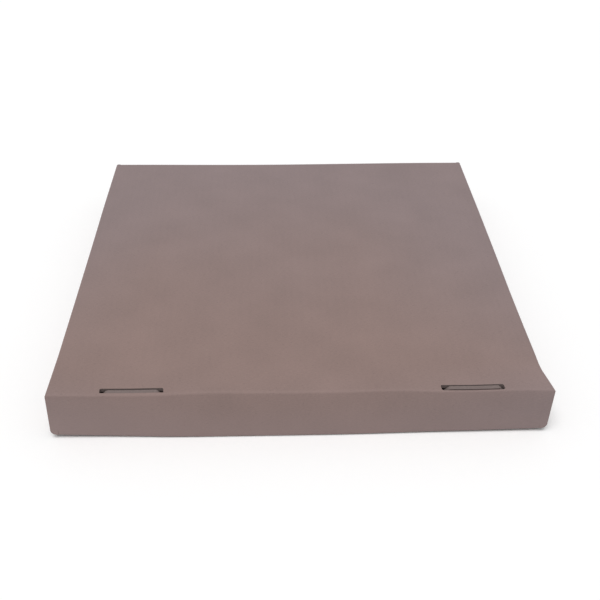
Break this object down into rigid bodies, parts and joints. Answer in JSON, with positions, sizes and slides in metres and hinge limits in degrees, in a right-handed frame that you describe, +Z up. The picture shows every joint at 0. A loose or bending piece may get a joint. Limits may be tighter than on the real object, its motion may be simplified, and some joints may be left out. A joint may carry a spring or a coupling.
{
  "type": "pizza box",
  "caption": "Flat square corrugated-board pizza box: a shallow tray and a hinged lid whose rolled front wall locks with tabs in slots.",
  "frame": {"origin": "middle of the closed box's footprint, on the surface it stands on", "axes": "+Z up through the lid's top panel, -Y towards the front wall with the tabs, +Y towards the hinge"},
  "size_m": [0.33, 0.33, 0.037],
  "materials": {
    "board": "matt brown kraft liner"
  },
  "bodies": {
    "tray": {"tray": "board"},
    "lid": {"lid": "board"}
  },
  "joints": [
    {"name": "lid_hinge", "type": "hinge", "parent": "tray", "child": "lid", "pos_m": [0, 0.1642, 0.0362], "axis": [-1, 0, 0], "range_deg": [0, 180]}
  ]
}
